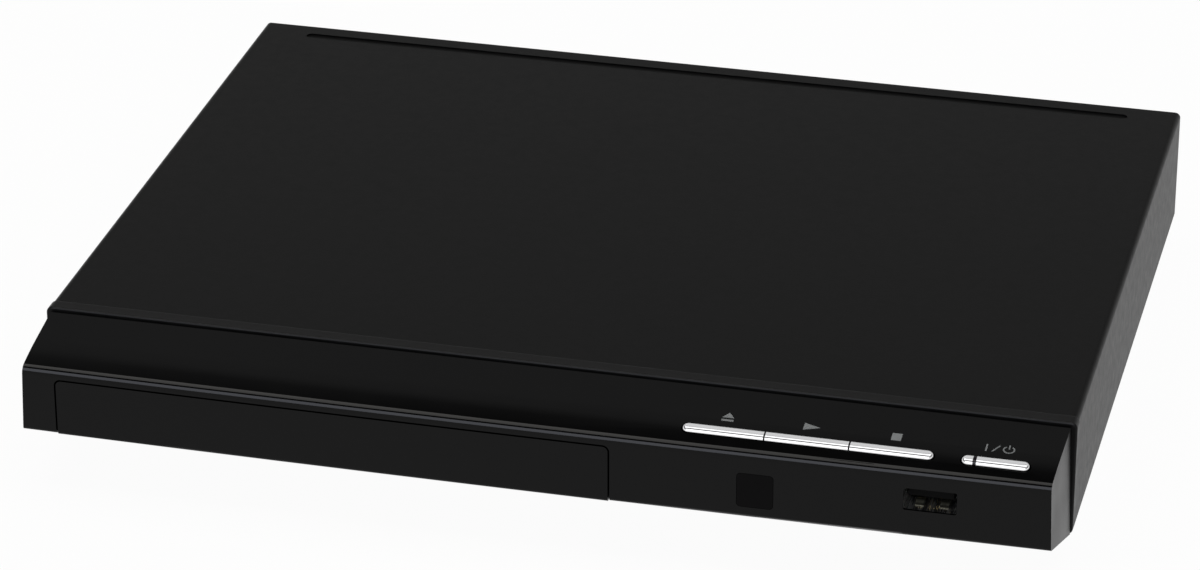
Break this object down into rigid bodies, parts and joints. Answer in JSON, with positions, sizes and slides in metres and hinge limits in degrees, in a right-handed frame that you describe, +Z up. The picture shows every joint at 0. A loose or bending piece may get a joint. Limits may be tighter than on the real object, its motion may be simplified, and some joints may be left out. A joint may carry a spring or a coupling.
{
  "type": "disc player with tray",
  "caption": "Slim black tray-loading disc player with a sliding tray, chrome button bars, a USB socket and rear sockets.",
  "frame": {"origin": "on the table under the middle of the overall box", "axes": "+X across to the right seen from the front, +Y to the rear, +Z up; the tray slides out along -Y"},
  "size_m": [0.27, 0.2234, 0.0385],
  "materials": {
    "cover_paint": "fine matt textured black",
    "gloss_black": "high gloss black",
    "matt_black": "satin black",
    "chrome_trim": "bright plated",
    "window_tint": "dark tinted gloss",
    "lamp_red": "translucent red",
    "zinc_steel": "zinc plated",
    "screw_steel": "black zinc",
    "rubber_black": "matt",
    "board_green": "solder mask",
    "board_tan": "phenolic",
    "chip_black": "epoxy",
    "aluminium_bare": "bare",
    "capacitor_can": "sleeved",
    "transformer_mix": "tape and ferrite",
    "loader_black": "moulded",
    "tray_black": "moulded satin",
    "gear_white": "acetal",
    "motor_steel": "drawn can",
    "nickel_shell": "nickel",
    "brass_pins": "plated",
    "rod_steel": "ground",
    "lens_glass": "coated",
    "cable_white": "laminated",
    "jack_black": "moulded",
    "magnet_dark": "sintered"
  },
  "bodies": {
    "casing": {"top_cover": "cover_paint", "front_fascia": "gloss_black", "front_frame": "matt_black", "bottom_chassis": "zinc_steel", "feet": "matt_black", "foot_pads": "rubber_black", "rear_panel": "cover_paint", "hdmi_socket": "nickel_shell", "av_jacks": "jack_black", "coax_jack": "jack_black", "mains_inlet": "jack_black", "inlet_pins": "nickel_shell", "rear_screws": "screw_steel", "remote_window": "window_tint", "front_board": "board_tan", "tact_switches": "chip_black", "remote_receiver": "chip_black", "usb_shell": "nickel_shell", "usb_tongue": "jack_black", "front_flat_cable": "cable_white", "main_board": "board_green", "board_chips": "chip_black", "chip_heatsink": "aluminium_bare", "power_board": "board_tan", "power_transformer": "transformer_mix", "capacitors": "capacitor_can", "board_screws": "screw_steel", "loader_frame": "loader_black", "loader_screws": "screw_steel", "clamp_bridge": "loader_black", "loading_motor": "motor_steel", "drive_belt": "rubber_black"},
    "tray": {"disc_tray": "tray_black", "tray_door": "gloss_black"},
    "drive_gear": {"drive_gear": "gear_white"},
    "pulley_gear": {"pulley_gear": "gear_white"},
    "motor_pulley": {"motor_pulley": "gear_white"},
    "lift_slider": {"lift_slider": "gear_white"},
    "traverse": {"traverse_frame": "loader_black", "spindle_motor": "motor_steel", "guide_rods": "rod_steel", "sled_motor": "motor_steel"},
    "turntable": {"turntable": "tray_black", "table_mat": "rubber_black"},
    "clamper": {"disc_clamper": "loader_black", "clamper_magnet": "magnet_dark"},
    "sled": {"pickup_sled": "aluminium_bare"},
    "lead_screw": {"lead_screw": "rod_steel"},
    "lens": {"lens_holder": "chip_black", "pickup_lens": "lens_glass"},
    "eject_button": {"eject_button": "chrome_trim"},
    "play_button": {"play_button": "chrome_trim"},
    "stop_button": {"stop_button": "chrome_trim"},
    "power_button": {"power_button": "chrome_trim", "standby_lamp": "lamp_red"}
  },
  "joints": [
    {"name": "tray_slide", "type": "slide", "parent": "casing", "child": "tray", "axis": [0, -1, 0], "range_m": [0, 0.136]},
    {"name": "drive_gear_spin", "type": "hinge", "parent": "casing", "child": "drive_gear", "pos_m": [-0.00115, -0.0764, 0.016], "axis": [0, 0, 1], "range_deg": [-880, 5]},
    {"name": "pulley_gear_spin", "type": "hinge", "parent": "casing", "child": "pulley_gear", "pos_m": [-0.00115, -0.0599, 0.015], "axis": [0, 0, 1], "range_deg": [-5, 2320]},
    {"name": "motor_pulley_spin", "type": "hinge", "parent": "casing", "child": "motor_pulley", "pos_m": [-0.00115, -0.0264, 0.017], "axis": [0, 0, 1], "range_deg": [-10, 8850]},
    {"name": "lift_slide", "type": "slide", "parent": "casing", "child": "lift_slider", "axis": [-1, 0, 0], "range_m": [0, 0.02]},
    {"name": "traverse_tilt", "type": "hinge", "parent": "casing", "child": "traverse", "pos_m": [-0.05115, 0.0469, 0.0155], "axis": [1, 0, 0], "range_deg": [-0.1, 2.31]},
    {"name": "turntable_spin", "type": "hinge", "parent": "traverse", "child": "turntable", "pos_m": [-0.05115, -0.0411, 0.026], "axis": [0, 0, 1], "continuous": true},
    {"name": "clamper_spin", "type": "hinge", "parent": "casing", "child": "clamper", "pos_m": [-0.05115, -0.0411, 0.03], "axis": [0, 0, 1], "continuous": true},
    {"name": "sled_slide", "type": "slide", "parent": "traverse", "child": "sled", "axis": [0, 1, 0], "range_m": [0, 0.035]},
    {"name": "lead_screw_spin", "type": "hinge", "parent": "traverse", "child": "lead_screw", "pos_m": [-0.02415, -0.0111, 0.0163], "axis": [0, 1, 0], "range_deg": [-5, 4210]},
    {"name": "lens_focus", "type": "slide", "parent": "sled", "child": "lens", "axis": [0, 0, 1], "range_m": [-0.0004, 0.0004], "stiffness_N_per_m": 150},
    {"name": "eject_push", "type": "slide", "parent": "casing", "child": "eject_button", "axis": [0, 0.1678, -0.9858], "range_m": [0, 0.0004], "stiffness_N_per_m": 1500},
    {"name": "play_push", "type": "slide", "parent": "casing", "child": "play_button", "axis": [0, 0.1678, -0.9858], "range_m": [0, 0.0004], "stiffness_N_per_m": 1500},
    {"name": "stop_push", "type": "slide", "parent": "casing", "child": "stop_button", "axis": [0, 0.1678, -0.9858], "range_m": [0, 0.0004], "stiffness_N_per_m": 1500},
    {"name": "power_push", "type": "slide", "parent": "casing", "child": "power_button", "axis": [0, 0.1678, -0.9858], "range_m": [0, 0.0004], "stiffness_N_per_m": 1500}
  ],
  "couplings": [
    {"joint": "drive_gear_spin", "follows": "tray_slide", "rad_per_m": -111.11},
    {"joint": "pulley_gear_spin", "follows": "tray_slide", "rad_per_m": 296.3},
    {"joint": "motor_pulley_spin", "follows": "tray_slide", "rad_per_m": 1134.1},
    {"joint": "traverse_tilt", "follows": "lift_slide", "rad_per_m": 1.9295},
    {"joint": "clamper_spin", "follows": "turntable_spin", "ratio": 1},
    {"joint": "lead_screw_spin", "follows": "sled_slide", "rad_per_m": 2094.4}
  ]
}
